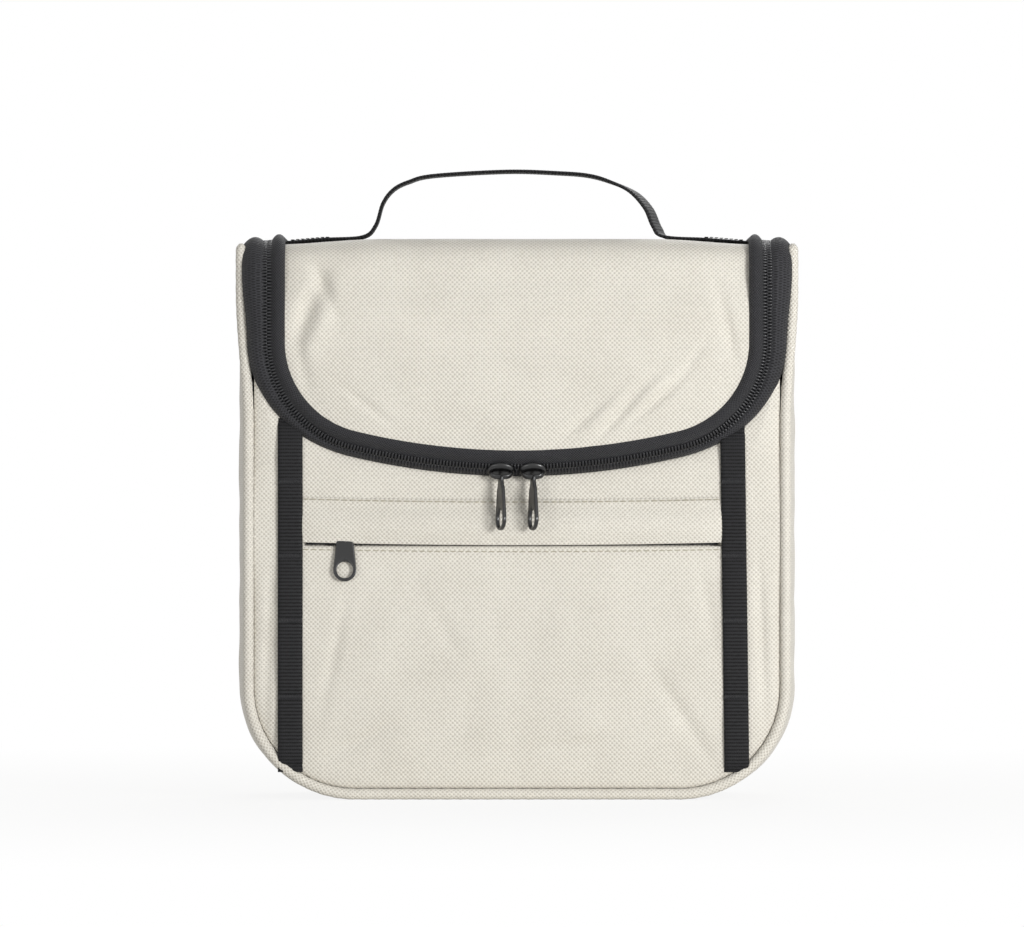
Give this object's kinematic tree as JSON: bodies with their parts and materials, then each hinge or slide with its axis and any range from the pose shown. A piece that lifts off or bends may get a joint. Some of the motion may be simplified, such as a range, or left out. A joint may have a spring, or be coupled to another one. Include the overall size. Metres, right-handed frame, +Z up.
{
  "type": "toiletry bag",
  "caption": "Upright padded fabric toiletry bag with a U-shaped zipped lid, two main sliders, a zipped front pocket, webbing straps and a webbing carry handle.",
  "frame": {"origin": "on the ground under the middle of the bag", "axes": "+X to the right seen from the front, -Y out of the front, +Z up"},
  "size_m": [0.22, 0.0963, 0.2531],
  "materials": {
    "sand_fabric": "woven, satin",
    "foam": "matte foam",
    "lining_fabric": "plain woven",
    "piping_core": "smooth",
    "black_webbing": "ribbed webbing",
    "black_tape": "fine woven tape",
    "zip_coil": "satin",
    "black_metal": "gloss black"
  },
  "bodies": {
    "bag": {"front_panel": "sand_fabric", "pocket_panel": "sand_fabric", "pocket_flap": "sand_fabric", "pocket_backing": "lining_fabric", "front_foam": "foam", "front_lining": "lining_fabric", "side_gusset": "sand_fabric", "gusset_foam": "foam", "gusset_lining": "lining_fabric", "back_panel": "sand_fabric", "back_foam": "foam", "back_lining": "lining_fabric", "front_piping": "sand_fabric", "front_piping_cord": "piping_core", "back_piping": "sand_fabric", "back_piping_cord": "piping_core", "front_binding": "black_tape", "back_binding": "black_tape", "hinge_seam_tape": "black_tape", "left_webbing": "black_webbing", "right_webbing": "black_webbing", "webbing_bar_tacks": "black_webbing", "main_zip_tape_body": "black_tape", "main_zip_coil_body": "zip_coil", "main_zip_stops": "black_metal", "pocket_zip_tape_upper": "black_tape", "pocket_zip_tape_lower": "black_tape", "pocket_zip_coil_upper": "zip_coil", "pocket_zip_coil_lower": "zip_coil", "pocket_zip_stops": "black_metal"},
    "lid": {"lid_panel": "sand_fabric", "lid_foam": "foam", "lid_lining": "lining_fabric", "main_zip_tape_lid": "black_tape", "main_zip_coil_lid": "zip_coil", "handle_tails": "black_webbing", "handle_tack_stitches": "black_webbing"},
    "handle": {"handle_loop": "black_webbing"},
    "left_slider": {"left_slider": "black_metal"},
    "right_slider": {"right_slider": "black_metal"},
    "left_pull": {"left_pull": "black_metal"},
    "right_pull": {"right_pull": "black_metal"},
    "pocket_slider": {"pocket_slider": "black_metal"},
    "pocket_pull": {"pocket_pull": "black_metal"}
  },
  "joints": [
    {"name": "lid_hinge", "type": "hinge", "parent": "bag", "child": "lid", "pos_m": [0, 0.0465, 0.225], "axis": [-1, 0, 0], "range_deg": [0, 180]},
    {"name": "handle_swing", "type": "hinge", "parent": "lid", "child": "handle", "pos_m": [0, 0, 0.2368], "axis": [1, 0, 0], "range_deg": [-80, 80]},
    {"name": "left_slider_run", "type": "hinge", "parent": "bag", "child": "left_slider", "pos_m": [0, 0, 0.4149], "axis": [0, 1, 0], "range_deg": [0, 11]},
    {"name": "right_slider_run", "type": "hinge", "parent": "bag", "child": "right_slider", "pos_m": [0, 0, 0.4149], "axis": [0, -1, 0], "range_deg": [0, 11]},
    {"name": "left_pull_swing", "type": "hinge", "parent": "left_slider", "child": "left_pull", "pos_m": [-0.00643, -0.0413, 0.12937], "axis": [-0.9997, 0, 0.0225], "range_deg": [0, 120]},
    {"name": "right_pull_swing", "type": "hinge", "parent": "right_slider", "child": "right_pull", "pos_m": [0.00643, -0.0413, 0.12937], "axis": [-0.9997, 0, -0.0225], "range_deg": [0, 120]},
    {"name": "pocket_slider_run", "type": "slide", "parent": "bag", "child": "pocket_slider", "axis": [1, 0, 0], "range_m": [0, 0.137]},
    {"name": "pocket_pull_swing", "type": "hinge", "parent": "pocket_slider", "child": "pocket_pull", "pos_m": [-0.0689, -0.03587, 0.109], "axis": [0, -0.9903, 0.1392], "range_deg": [-30, 30]}
  ]
}
